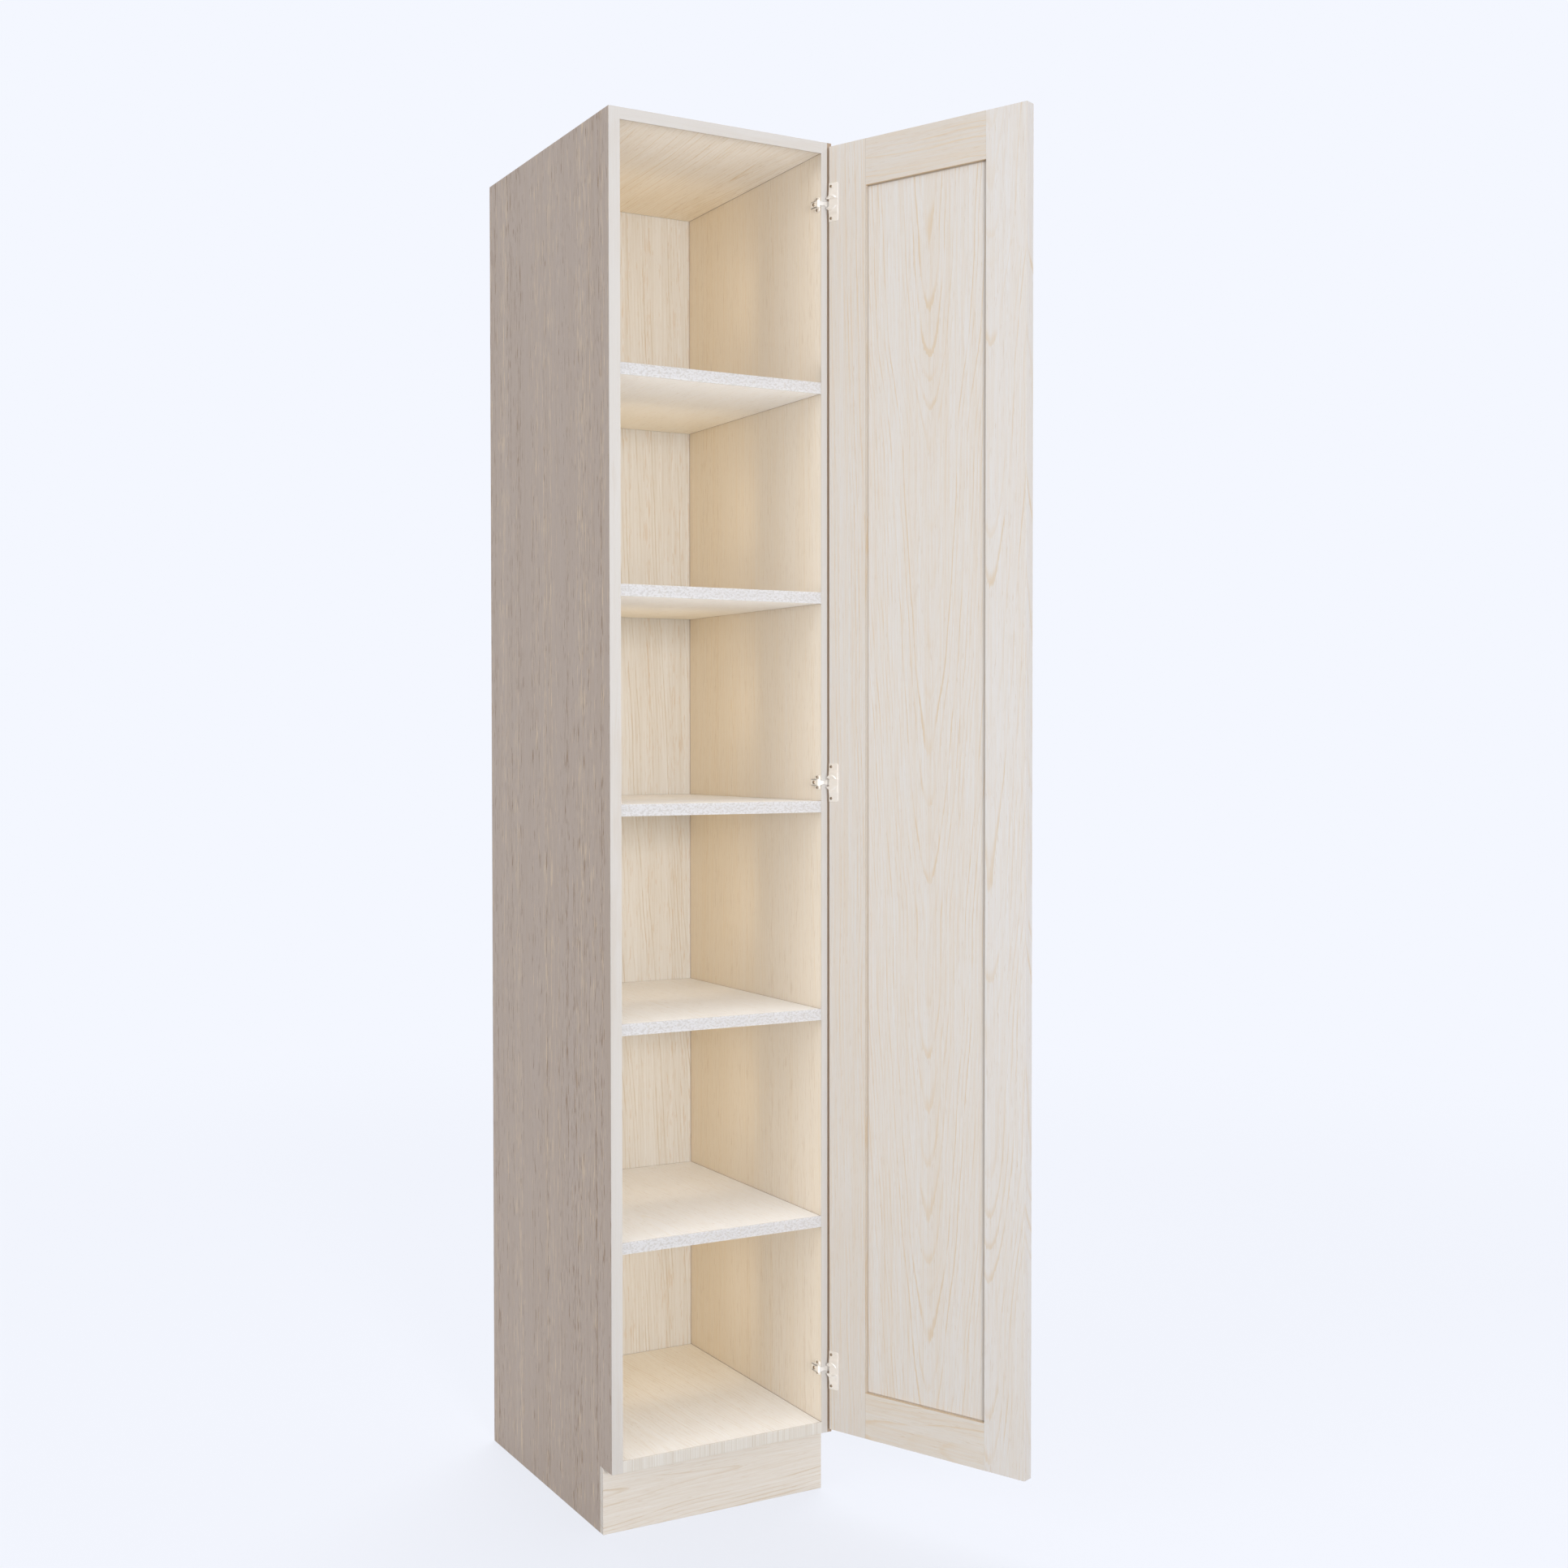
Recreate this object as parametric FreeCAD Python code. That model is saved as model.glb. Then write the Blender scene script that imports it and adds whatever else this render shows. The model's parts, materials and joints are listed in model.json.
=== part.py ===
import FreeCAD, Part
import os

os.makedirs("parts", exist_ok=True)

# All sizes in millimetres. +Z is up and -Y is the front, where the door is.
# The origin is on the floor, in the middle of the width, in the plane of the wall behind.

# Carcass
height = 2150.0
width = 380.0
depth = 508.0
board = 18.0
band = 1.0
toe_height = 102.5
toe_recess = 34.0
toe_board = 12.0
toe_block = 18.0

# Shelves, evenly spaced from the bottom panel up
shelf_count = 5
shelf_pitch = 330.5
shelf_setback = 2.0

# Back panel in its grooves, and the rails behind it
back_board = 12.0
groove_depth = 6.0
groove_fit = 0.1
groove_spare = 0.5
rail_height = 80.0

# Dowels that hold the boards between the side panels
dowel_radius = 4.0
dowel_length = 30.0
dowel_in_side = 12.0
dowel_fit = 0.05
dowel_spare = 0.5
dowel_front = 60.0
dowel_back = 70.0
rail_dowel_edge = 20.0

# Wood screws through the back panel and the rails
screw_radius = 1.8
screw_head_radius = 3.6
screw_head = 2.6
screw_fit = 0.05
screw_bite = 20.0
screw_side = 70.0
screw_tip_spare = 0.5

# Door: two stiles, two rails and a flat panel
door_gap = 3.0
door_thickness = 18.0
reveal_side = 6.0
reveal_top = 8.9
reveal_bottom = 8.3
stile_width = 72.0
door_rail_width = 72.0
door_panel = 6.0
tongue = 10.0
tongue_fit = 0.1
panel_spare = 0.5
open_angle = 112.0

# Hinges: their places up the door, and the pin's axis, a little beyond the door's edge and
# within its thickness, so that the open door's inner corner stands ahead of the carcass
top_hinge_down = 87.8
bottom_hinge_up = 95.2
middle_hinge_up = 29.5
pin_out = 0.7
pin_in = 4.6
pin_radius = 1.5
pin_head_radius = 2.4
pin_head = 1.0
pin_press = 0.02
pin_running = 0.05
knuckle_radius = 2.7
knuckle_half = 11.3
eye_half = 5.25
eye_gap = 0.35
knuckle_gap = 0.4

# Hinge plate on the door
plate_thickness = 1.0
plate_width = 17.7
plate_half = 30.2
plate_corner = 2.5
plate_rise = 1.6
rise_half = 12.5
rise_slope = 3.5
plate_hole_in = 4.2
plate_hole_up = 25.0
plate_web = 1.4

# Hinge arm and its mounting plate on the right side panel
arm_sheet = 1.4
arm_clear = 0.3
arm_flange = 1.2
arm_standoff = 7.0
arm_length = 21.0
arm_corner = 1.2
mount_base = 2.0
mount_front = 2.0
wing_half = 11.5
wing_front = 3.5
wing_back = 17.5
rib_fit = 0.15
rib_front = 3.0
rib_back = 20.0

# Hinge screws
small_screw = 1.5
small_head_radius = 2.6
small_head = 1.1
small_length = 13.0
small_fit = 0.05
slot_width = 0.8
slot_depth = 0.7
clamp_screw = 1.9
clamp_head_radius = 3.0
clamp_head = 1.6
clamp_fit = 0.15

overrun = 5.0

# Planes and places worked out from the sizes
front = -depth
half = width / 2
inner = half - board
floor_top = toe_height + board
roof = height - board
back_rear = -board
back_front = back_rear - back_board
toe_front = front + toe_recess
toe_rear = toe_front + toe_board
groove_top = roof + groove_depth
shelf_tops = [floor_top + shelf_pitch * (n + 1) for n in range(shelf_count)]
middle_shelf = shelf_tops[shelf_count // 2]
dowel_ys = [front + dowel_front, (front + dowel_front + back_front - dowel_back) / 2,
            back_front - dowel_back]

door_edge = half - reveal_side
door_inner = front - door_gap
door_outer = door_inner - door_thickness
door_low = toe_height + reveal_bottom
door_high = height - reveal_top
door_middle = (door_inner + door_outer) / 2
stile_edge = door_edge - stile_width
hinge_heights = [door_low + bottom_hinge_up, middle_shelf + middle_hinge_up,
                 door_high - top_hinge_down]
rail_centres = [toe_height + board / 2, middle_shelf - board / 2]

up = FreeCAD.Vector(0, 0, 1)
pivot = FreeCAD.Vector(door_edge + pin_out, door_inner - pin_in, 0)


def block(x0, x1, y0, y1, z0, z1):
    return Part.makeBox(x1 - x0, y1 - y0, z1 - z0, FreeCAD.Vector(x0, y0, z0))


def rod(radius, start, end):
    run = FreeCAD.Vector(*end) - FreeCAD.Vector(*start)
    return Part.makeCylinder(radius, run.Length, FreeCAD.Vector(*start), run)


def countersunk(shank, head_radius, head, start, end):
    """A flat-headed screw whose head's face is at start and whose tip is at end."""
    first = FreeCAD.Vector(*start)
    run = FreeCAD.Vector(*end) - first
    cone = Part.makeCone(head_radius, shank, head, first, run)
    return cone.fuse(Part.makeCylinder(shank, run.Length, first, run)).removeSplitter()


def without(shape, cutters):
    return shape.cut(Part.makeCompound(cutters)) if cutters else shape


def save(name, *solids):
    shape = solids[0] if len(solids) == 1 else Part.makeCompound(list(solids))
    shape.exportStep("parts/" + name + ".step")


def save_open(name, *solids):
    """Write a piece of the door, turned from closed to where the photograph has it."""
    save(name, *[solid.rotated(pivot, up, open_angle) for solid in solids])


def board_dowels(z):
    """Ends of the dowels, on both sides, of a board whose middle is at height z."""
    return [(side, y, z) for side in (-1, 1) for y in dowel_ys]


def rail_dowels(low, high):
    return [(side, back_rear / 2, z) for side in (-1, 1)
            for z in (low + rail_dowel_edge, high - rail_dowel_edge)]


def dowel(place, fit=0.0, spare=0.0):
    side, y, z = place
    outside = side * (inner + dowel_in_side + spare)
    inside = side * (inner - dowel_length + dowel_in_side - spare)
    return rod(dowel_radius + fit, (outside, y, z), (inside, y, z))


def dowel_holes(places):
    return [dowel(place, dowel_fit, dowel_spare) for place in places]


# Places of all dowels
shelf_dowel_places = [place for top in shelf_tops for place in board_dowels(top - board / 2)]
panel_dowel_places = board_dowels(floor_top - board / 2) + board_dowels(roof + board / 2)
rail_spans = {
    "rail_bottom": (0, floor_top),
    "rail_middle": (rail_centres[1] - rail_height / 2, rail_centres[1] + rail_height / 2),
    "rail_top": (roof - rail_height, roof),
}
rail_dowel_places = [place for low, high in rail_spans.values() for place in rail_dowels(low, high)]
all_dowel_places = shelf_dowel_places + panel_dowel_places + rail_dowel_places


def back_screw(x, z, rear, fit=0.0, spare=0.0):
    return countersunk(screw_radius + fit, screw_head_radius + fit, screw_head,
                       (x, rear, z), (x, back_front - screw_bite - spare, z))


back_screw_places = [(x, top - board / 2, back_rear) for top in shelf_tops if top != middle_shelf
                     for x in (-screw_side, screw_side)]
rail_screw_places = [(x, z, 0) for z in rail_centres for x in (-screw_side, screw_side)]
screw_holes = [back_screw(*place, screw_fit, screw_tip_spare)
               for place in back_screw_places + rail_screw_places]


# Screws that hold the hinges, each with a plain slot in its head
def pan_screw(radius, head_radius, head, length, slot, place, way):
    """A screw whose head sits on place and whose shank runs along way."""
    place = FreeCAD.Vector(*place)
    way = FreeCAD.Vector(*way)
    shank = Part.makeCylinder(radius, length, place, way)
    top = Part.makeCylinder(head_radius, head, place - way * head, way)
    saw = Part.makeBox(head_radius * 2, slot_width, slot,
                       FreeCAD.Vector(-head_radius, -slot_width / 2, 0))
    saw.Placement = FreeCAD.Placement(place - way * head, FreeCAD.Rotation(up, way)).multiply(
        saw.Placement)
    return shank.fuse(top).removeSplitter().cut(saw)


def mount_screw_places(z):
    y = front + (wing_front + wing_back) / 2
    off = (wing_half + eye_half) / 2
    return [(inner - mount_base, y, z - off), (inner - mount_base, y, z + off)]


def plate_screw_places(z):
    x = door_edge - plate_hole_in
    y = door_inner + plate_thickness
    return [(x, y, z - plate_hole_up), (x, y, z + plate_hole_up)]


def mount_screw(place):
    return pan_screw(small_screw, small_head_radius, small_head, mount_base + small_length,
                     slot_depth, place, (1, 0, 0))


def plate_screw(place):
    return pan_screw(small_screw, small_head_radius, small_head, plate_thickness + small_length,
                     slot_depth, place, (0, -1, 0))


def small_hole(place, way, length):
    end = FreeCAD.Vector(*place) + FreeCAD.Vector(*way) * (length + screw_tip_spare)
    return rod(small_screw + small_fit, place, tuple(end))


# Side panels, notched for the toe board and grooved for the back
def side_panel(side):
    x0, x1 = sorted((side * inner, side * half))
    panel = block(x0, x1, front + band, 0, 0, height)
    notch = block(x0 - overrun, x1 + overrun, front - overrun, toe_rear, -overrun, toe_height)
    deep = sorted((side * (inner - overrun), side * (inner + groove_depth)))
    groove = block(*deep, back_front - groove_fit, back_rear + groove_fit, toe_height, groove_top)
    cutters = [notch, groove]
    cutters += dowel_holes([place for place in all_dowel_places if place[0] == side])
    if side > 0:
        cutters += [small_hole(place, (1, 0, 0), mount_base + small_length)
                    for z in hinge_heights for place in mount_screw_places(z)]
    return without(panel, cutters)


save("side_left", side_panel(-1))
save("side_right", side_panel(1))

# Top and bottom panels and shelves, held between the side panels
top_groove = block(-inner - overrun, inner + overrun, back_front - groove_fit,
                   back_rear + groove_fit, roof - overrun, groove_top)
save("top_panel", without(block(-inner, inner, front + band, 0, roof, height),
                          [top_groove] + dowel_holes(board_dowels(roof + board / 2))))
save("bottom_panel", without(
    block(-inner, inner, front + band, back_front, toe_height, floor_top),
    dowel_holes(board_dowels(floor_top - board / 2)) + screw_holes))
shelf_front = front + shelf_setback
for number, top in enumerate(shelf_tops, 1):
    save("shelf_%d" % number, without(
        block(-inner, inner, shelf_front + band, back_front, top - board, top),
        dowel_holes(board_dowels(top - board / 2)) + screw_holes))
    save("shelf_band_%d" % number,
         block(-inner, inner, shelf_front, shelf_front + band, top - board, top))

# Edge bands on the front of the carcass
for name, side in (("band_left", -1), ("band_right", 1)):
    x0, x1 = sorted((side * inner, side * half))
    save(name, block(x0, x1, front, front + band, toe_height, height))
save("band_top", block(-inner, inner, front, front + band, roof, height))
save("band_bottom", block(-inner, inner, front, front + band, toe_height, floor_top))

# Back panel and the rails behind it
back_side = inner + groove_depth - groove_spare
save("back_panel", without(
    block(-back_side, back_side, back_front, back_rear, toe_height, groove_top - groove_spare),
    screw_holes))
for name, (low, high) in rail_spans.items():
    save(name, without(block(-inner, inner, back_rear, 0, low, high),
                       dowel_holes(rail_dowels(low, high)) + screw_holes))

# Toe board across the notches, and the glue blocks behind its ends
save("toe_board", block(-half, half, toe_front, toe_rear, 0, toe_height))
for name, side in (("toe_block_left", -1), ("toe_block_right", 1)):
    x0, x1 = sorted((side * inner, side * (inner - toe_block)))
    save(name, block(x0, x1, toe_rear, toe_rear + toe_block, 0, toe_height))

# Dowels and screws of the carcass
save("shelf_dowels", *[dowel(place) for place in shelf_dowel_places])
save("panel_dowels", *[dowel(place) for place in panel_dowel_places])
save("rail_dowels", *[dowel(place) for place in rail_dowel_places])
save("back_screws", *[back_screw(*place) for place in back_screw_places])
save("rail_screws", *[back_screw(*place) for place in rail_screw_places])


# Door, drawn closed: a frame of stiles and rails grooved for the panel
panel_front = door_middle - door_panel / 2
panel_rear = door_middle + door_panel / 2
slot_front = panel_front - tongue_fit
slot_rear = panel_rear + tongue_fit
slot_deep = tongue + panel_spare


def stile(side):
    x0, x1 = sorted((side * stile_edge, side * door_edge))
    body = block(x0, x1, door_outer, door_inner, door_low, door_high)
    deep = sorted((side * (stile_edge - overrun), side * (stile_edge + slot_deep)))
    cutters = [block(*deep, slot_front, slot_rear, door_low - overrun, door_high + overrun)]
    if side > 0:
        notch_half = knuckle_half + pin_head + knuckle_gap
        room = knuckle_radius + knuckle_gap
        for z in hinge_heights:
            low, high = z - notch_half, z + notch_half
            cutters.append(rod(room, (pivot.x, pivot.y, low), (pivot.x, pivot.y, high)))
            cutters.append(block(pivot.x - room, door_edge + overrun, pivot.y,
                                 door_inner + overrun, low, high))
            cutters += [small_hole(place, (0, -1, 0), plate_thickness + small_length)
                        for place in plate_screw_places(z)]
    return without(body, cutters)


def door_rail(low, high, inside, way):
    """A rail from low to high, grooved in its edge at height inside, which faces way."""
    body = block(-stile_edge, stile_edge, door_outer, door_inner, low, high)
    body = body.fuse(block(-stile_edge - tongue, stile_edge + tongue,
                           panel_front, panel_rear, low, high))
    z0, z1 = sorted((inside + way * overrun, inside - way * slot_deep))
    reach = stile_edge + tongue + overrun
    return body.cut(block(-reach, reach, slot_front, slot_rear, z0, z1))


save_open("door_stile_hinge", stile(1))
save_open("door_stile_free", stile(-1))
rail_low = door_low + door_rail_width
rail_high = door_high - door_rail_width
save_open("door_rail_bottom", door_rail(door_low, rail_low, rail_low, 1))
save_open("door_rail_top", door_rail(rail_high, door_high, rail_high, -1))
panel_reach = tongue - panel_spare
save_open("door_panel", block(-stile_edge - panel_reach, stile_edge + panel_reach,
                              panel_front, panel_rear,
                              rail_low - panel_reach, rail_high + panel_reach))


# Hinge plate on the door: a strip with a raised middle, split where the arm lies when closed,
# and two webs that reach into the notch of the stile, to a knuckle each
def hinge_plate(z):
    x0 = door_edge - plate_width
    top = door_inner + plate_thickness
    strip = block(x0, door_edge, door_inner, top, z - plate_half, z + plate_half)
    far = [edge for edge in strip.Edges
           if edge.BoundBox.XMax < x0 + plate_thickness and edge.BoundBox.YLength > 0]
    strip = strip.makeFillet(plate_corner, far)
    outline = [(z - rise_half - rise_slope, 0), (z - rise_half, plate_rise),
               (z + rise_half, plate_rise), (z + rise_half + rise_slope, 0)]
    points = [FreeCAD.Vector(x0, top + rise, level) for level, rise in outline]
    face = Part.Face(Part.makePolygon(points + points[:1]))
    raised = face.extrude(FreeCAD.Vector(plate_width, 0, 0))
    channel = block(x0 - overrun, door_edge + overrun, top, top + overrun,
                    z - eye_half - eye_gap, z + eye_half + eye_gap)
    plate = strip.fuse(raised).cut(channel)
    for way in (-1, 1):
        low, high = sorted((z + way * (eye_half + eye_gap), z + way * knuckle_half))
        knuckle = rod(knuckle_radius, (pivot.x, pivot.y, low), (pivot.x, pivot.y, high))
        web = block(pivot.x - knuckle_radius, pivot.x - knuckle_radius + plate_web,
                    pivot.y, top, low, high)
        plate = plate.fuse([knuckle, web])
    bore = rod(pin_radius + pin_press, (pivot.x, pivot.y, z - plate_half),
               (pivot.x, pivot.y, z + plate_half))
    holes = [rod(small_screw + small_fit, place, (place[0], door_inner - overrun, place[2]))
             for place in plate_screw_places(z)]
    return without(plate, [bore] + holes).removeSplitter()


def hinge_pin(z):
    shank = rod(pin_radius, (pivot.x, pivot.y, z - knuckle_half),
                (pivot.x, pivot.y, z + knuckle_half))
    head = rod(pin_head_radius, (pivot.x, pivot.y, z + knuckle_half),
               (pivot.x, pivot.y, z + knuckle_half + pin_head))
    return shank.fuse(head).removeSplitter()


# Hinge arm: an eye round the pin, a leg back to a strip across the front edge, and a channel
# along the side
arm_left = inner - arm_standoff
arm_front = door_inner + plate_thickness + arm_clear
arm_back = front + arm_length
leg_right = pivot.x + knuckle_radius
base_left = inner - mount_base
clamp_y = front + (rib_front + rib_back) / 2


def hinge_arm(z):
    low, high = z - eye_half, z + eye_half
    eye = rod(knuckle_radius, (pivot.x, pivot.y, low), (pivot.x, pivot.y, high))
    strip = block(arm_left, leg_right, arm_front, arm_front + arm_sheet, low, high)
    leg = block(leg_right - arm_sheet, leg_right, pivot.y, arm_front + arm_sheet, low, high)
    web = block(arm_left, arm_left + arm_sheet, arm_front, arm_back, low, high)
    flanges = [block(arm_left, base_left, front + mount_front, arm_back, z0, z0 + arm_flange)
               for z0 in (low, high - arm_flange)]
    body = eye.fuse([leg, strip, web] + flanges).removeSplitter()
    corner = [edge for edge in body.Edges
              if edge.BoundBox.ZLength > eye_half and edge.BoundBox.XMax < arm_left + arm_sheet / 2
              and edge.BoundBox.YMax < arm_front + arm_sheet / 2]
    body = body.makeFillet(arm_corner, corner)
    bore = rod(pin_radius + pin_running, (pivot.x, pivot.y, low - overrun),
               (pivot.x, pivot.y, high + overrun))
    hole = rod(clamp_screw + clamp_fit, (arm_left - overrun, clamp_y, z),
               (arm_left + overrun, clamp_y, z))
    return without(body, [bore, hole])


def mount_plate(z):
    bar = block(base_left, inner, front + mount_front, arm_back, z - eye_half, z + eye_half)
    wings = block(base_left, inner, front + wing_front, front + wing_back,
                  z - wing_half, z + wing_half)
    rib_half = eye_half - arm_flange - rib_fit
    rib = block(arm_left + arm_sheet, base_left, front + rib_front, front + rib_back,
                z - rib_half, z + rib_half)
    holes = [rod(small_screw + small_fit, place, (inner + overrun, place[1], place[2]))
             for place in mount_screw_places(z)]
    thread = rod(clamp_screw + clamp_fit, (arm_left, clamp_y, z), (base_left, clamp_y, z))
    return without(bar.fuse([wings, rib]).removeSplitter(), holes + [thread])


def clamp_screw_solid(z):
    return pan_screw(clamp_screw, clamp_head_radius, clamp_head, base_left - arm_left - clamp_fit,
                     slot_depth, (arm_left, clamp_y, z), (1, 0, 0))


for name, z in zip(("lower", "middle", "upper"), hinge_heights):
    save_open("hinge_plate_" + name, hinge_plate(z))
    save("hinge_arm_" + name, hinge_arm(z))
    save("hinge_mount_" + name, mount_plate(z))
save_open("hinge_pins", *[hinge_pin(z) for z in hinge_heights])
save_open("hinge_plate_screws", *[plate_screw(place) for z in hinge_heights
                                  for place in plate_screw_places(z)])
save("hinge_mount_screws", *[mount_screw(place) for z in hinge_heights
                             for place in mount_screw_places(z)])
save("hinge_clamp_screws", *[clamp_screw_solid(z) for z in hinge_heights])
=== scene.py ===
import json
import math

import bmesh
import bpy
from mathutils import Matrix, Vector


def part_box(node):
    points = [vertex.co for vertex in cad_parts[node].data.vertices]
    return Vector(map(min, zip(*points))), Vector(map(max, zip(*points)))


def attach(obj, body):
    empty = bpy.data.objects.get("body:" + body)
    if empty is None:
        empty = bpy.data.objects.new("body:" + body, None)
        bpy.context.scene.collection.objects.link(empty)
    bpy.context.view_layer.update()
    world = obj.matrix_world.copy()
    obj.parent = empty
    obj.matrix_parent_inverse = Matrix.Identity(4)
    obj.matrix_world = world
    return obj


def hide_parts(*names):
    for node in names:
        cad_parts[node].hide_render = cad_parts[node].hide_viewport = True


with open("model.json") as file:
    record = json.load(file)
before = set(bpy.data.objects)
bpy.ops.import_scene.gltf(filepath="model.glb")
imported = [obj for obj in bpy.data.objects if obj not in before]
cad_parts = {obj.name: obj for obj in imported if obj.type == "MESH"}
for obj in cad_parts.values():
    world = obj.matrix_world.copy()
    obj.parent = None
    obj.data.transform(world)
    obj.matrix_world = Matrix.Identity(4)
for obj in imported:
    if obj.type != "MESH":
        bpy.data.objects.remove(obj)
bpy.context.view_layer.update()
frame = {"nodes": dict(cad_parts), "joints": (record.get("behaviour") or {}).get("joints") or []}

print("frame loaded, nodes:", len(frame["nodes"]))

mm = 0.001
swing = frame["joints"][0]
pivot = Vector((swing["pos_m"][0], swing["pos_m"][1], 0))  # the hinge pins' axis
openTurn = -math.radians(swing["range_deg"][0])  # how far the door stands open at rest
toClosed = Matrix.Rotation(-openTurn, 3, "Z")
toOpen = toClosed.transposed()
hingePlaces = ("lower", "middle", "upper")
shelves = 5
mergeReach = 0.01 * mm  # vertices of a solid's mesh this near are one point
flatTurn = math.radians(0.5)  # faces that turn less than this are one
sharpTurn = math.radians(30)  # edges of boards that turn more than this are eased
jointReach = 0.02 * mm  # unless they lie this near a joint


# Shader maths: an expression on wires adds the nodes that work it out
class Wire:
    def __init__(self, tree, socket):
        self.tree, self.socket = tree, socket

    def maths(self, operation, *values):
        node = self.tree.nodes.new("ShaderNodeMath")
        node.operation = operation
        for socket, value in zip(node.inputs, values):
            plug(self.tree, socket, value)
        return Wire(self.tree, node.outputs[0])

    def __add__(self, other):
        return self.maths("ADD", self, other)

    def __sub__(self, other):
        return self.maths("SUBTRACT", self, other)

    def __rsub__(self, other):
        return self.maths("SUBTRACT", other, self)

    def __mul__(self, other):
        return self.maths("MULTIPLY", self, other)

    def __truediv__(self, other):
        return self.maths("DIVIDE", self, other)

    def __rtruediv__(self, other):
        return self.maths("DIVIDE", other, self)

    def __pow__(self, other):
        return self.maths("POWER", self, other)

    def __rpow__(self, other):
        return self.maths("POWER", other, self)

    __radd__ = __add__
    __rmul__ = __mul__

    def held(self):  # kept between 0 and 1
        wire = self.maths("ADD", self, 0.0)
        wire.socket.node.use_clamp = True
        return wire


def plug(tree, socket, value):
    if isinstance(value, Wire):
        tree.links.new(value.socket, socket)
    else:
        socket.default_value = value


class Finish:
    def __init__(self, name):
        self.material = bpy.data.materials.new(name)
        self.material.use_nodes = True
        self.tree = self.material.node_tree
        self.tree.nodes.clear()

    def node(self, kind, sockets=None, out=0, **settings):
        made = self.tree.nodes.new("ShaderNode" + kind)
        for name, value in settings.items():
            setattr(made, name, value)
        for name, value in (sockets or {}).items():
            plug(self.tree, made.inputs[name], value)
        return Wire(self.tree, made.outputs[out]) if made.outputs else made

    def noise(self, vector, detail=2.0, roughness=0.5, scale=1.0):
        return self.node("TexNoise", {"Vector": vector, "Scale": scale, "Detail": detail,
                                      "Roughness": roughness})

    def vector(self, x, y, z):
        return self.node("CombineXYZ", {0: x, 1: y, 2: z})

    def split(self, vector):
        first = self.node("SeparateXYZ", {0: vector})
        return [Wire(self.tree, socket) for socket in first.socket.node.outputs]

    def rise(self, value, low, high, bottom=0.0, top=1.0):  # a soft step
        return self.node("MapRange", {0: value, 1: low, 2: high, 3: bottom, 4: top},
                         interpolation_type="SMOOTHSTEP")

    def mix(self, share, first, second, blend="MIX"):
        return self.node("Mix", {0: share, 6: first, 7: second}, out=2, data_type="RGBA",
                         blend_type=blend)

    def surface(self, colour, roughness, height, bumpDepth, bump, **fixed):
        normal = self.node("Bump", {"Height": height, "Distance": bumpDepth, "Strength": bump})
        sockets = {"Base Color": colour, "Roughness": roughness, "Normal": normal}
        sockets.update({name.replace("_", " "): value for name, value in fixed.items()})
        self.node("OutputMaterial", {0: self.node("BsdfPrincipled", sockets)})
        return self.material


# Wood: growth rings cut by the board, fine fibre, pores and darker flecks
woods = {
    "carcass": dict(pale=(0.865, 0.80, 0.705), tan=(0.75, 0.63, 0.475), pore=(0.50, 0.36, 0.23),
                    ringGap=0.0060, bow=0.014, lean=0.060, heart=0.0, wander=0.020, sway=0.030,
                    ring=0.50, fibre=0.50, streak=0.60, pores=0.45, flecks=0.45, fine=700.0,
                    rough=0.50),
    "door": dict(pale=(0.885, 0.855, 0.825), tan=(0.735, 0.625, 0.495), pore=(0.58, 0.43, 0.28),
                 ringGap=0.0062, bow=0.012, lean=0.085, heart=0.0, wander=0.020, sway=0.040,
                 ring=0.85, fibre=0.75, streak=0.50, pores=0.45, flecks=0.10, fine=360.0,
                 rough=0.48),
    "band": dict(pale=(0.70, 0.685, 0.672), tan=(0.635, 0.585, 0.535), pore=(0.55, 0.45, 0.34),
                 ringGap=0.0040, bow=0.20, lean=0.004, heart=0.0, wander=0.006, sway=0.010,
                 ring=0.30, fibre=0.50, streak=0.45, pores=0.15, flecks=0.0, fine=700.0,
                 rough=0.42),
    "birch": dict(pale=(0.80, 0.70, 0.55), tan=(0.70, 0.57, 0.40), pore=(0.56, 0.42, 0.28),
                  ringGap=0.0070, bow=0.03, lean=0.03, heart=0.0, wander=0.02, sway=0.03,
                  ring=0.45, fibre=0.45, streak=0.40, pores=0.10, flecks=0.0, fine=700.0,
                  rough=0.60),
}

# Colours that the woods are multiplied by
outerPaintedShade = (0.617, 0.560, 0.555)  # painted shade on the outer sides
freeEdgePaintedShade = (0.93, 0.925, 0.925)  # painted shade on the door's free edge
innerEdgePaintedShade = (0.80, 0.76, 0.70)  # painted shade on the edges beside the door's panel
lipPaintedShade = (0.86, 0.74, 0.58)  # painted shade above and below it
hingeGapPaintedShadow = (0.62, 0.48, 0.37)  # painted shadow of the door on the strip of the right band that it lies on
wallPaintedBackShade = (1.06, 1.02, 0.93)  # painted shade: the inner faces turn this much more golden towards the back
# painted shade towards the back of the top, the bottom and the shelves
shelfPaintedBackShade = (1.03, 0.97, 0.84)
paintedBackShadeReach = (-0.16, 0.20)  # from and to, in metres behind the middle of a board, where the painted back shade grows
seamAndPaintedShade = (0.34, 0.28, 0.23)  # the dark lines where boards meet, and painted shade along the door panel's recess
seamWide = 2.0  # in mm
skin = 4 * mm  # from a shelf's middle towards its faces
faceStep = 0.8  # mm over which a face's painted shade begins

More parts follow.
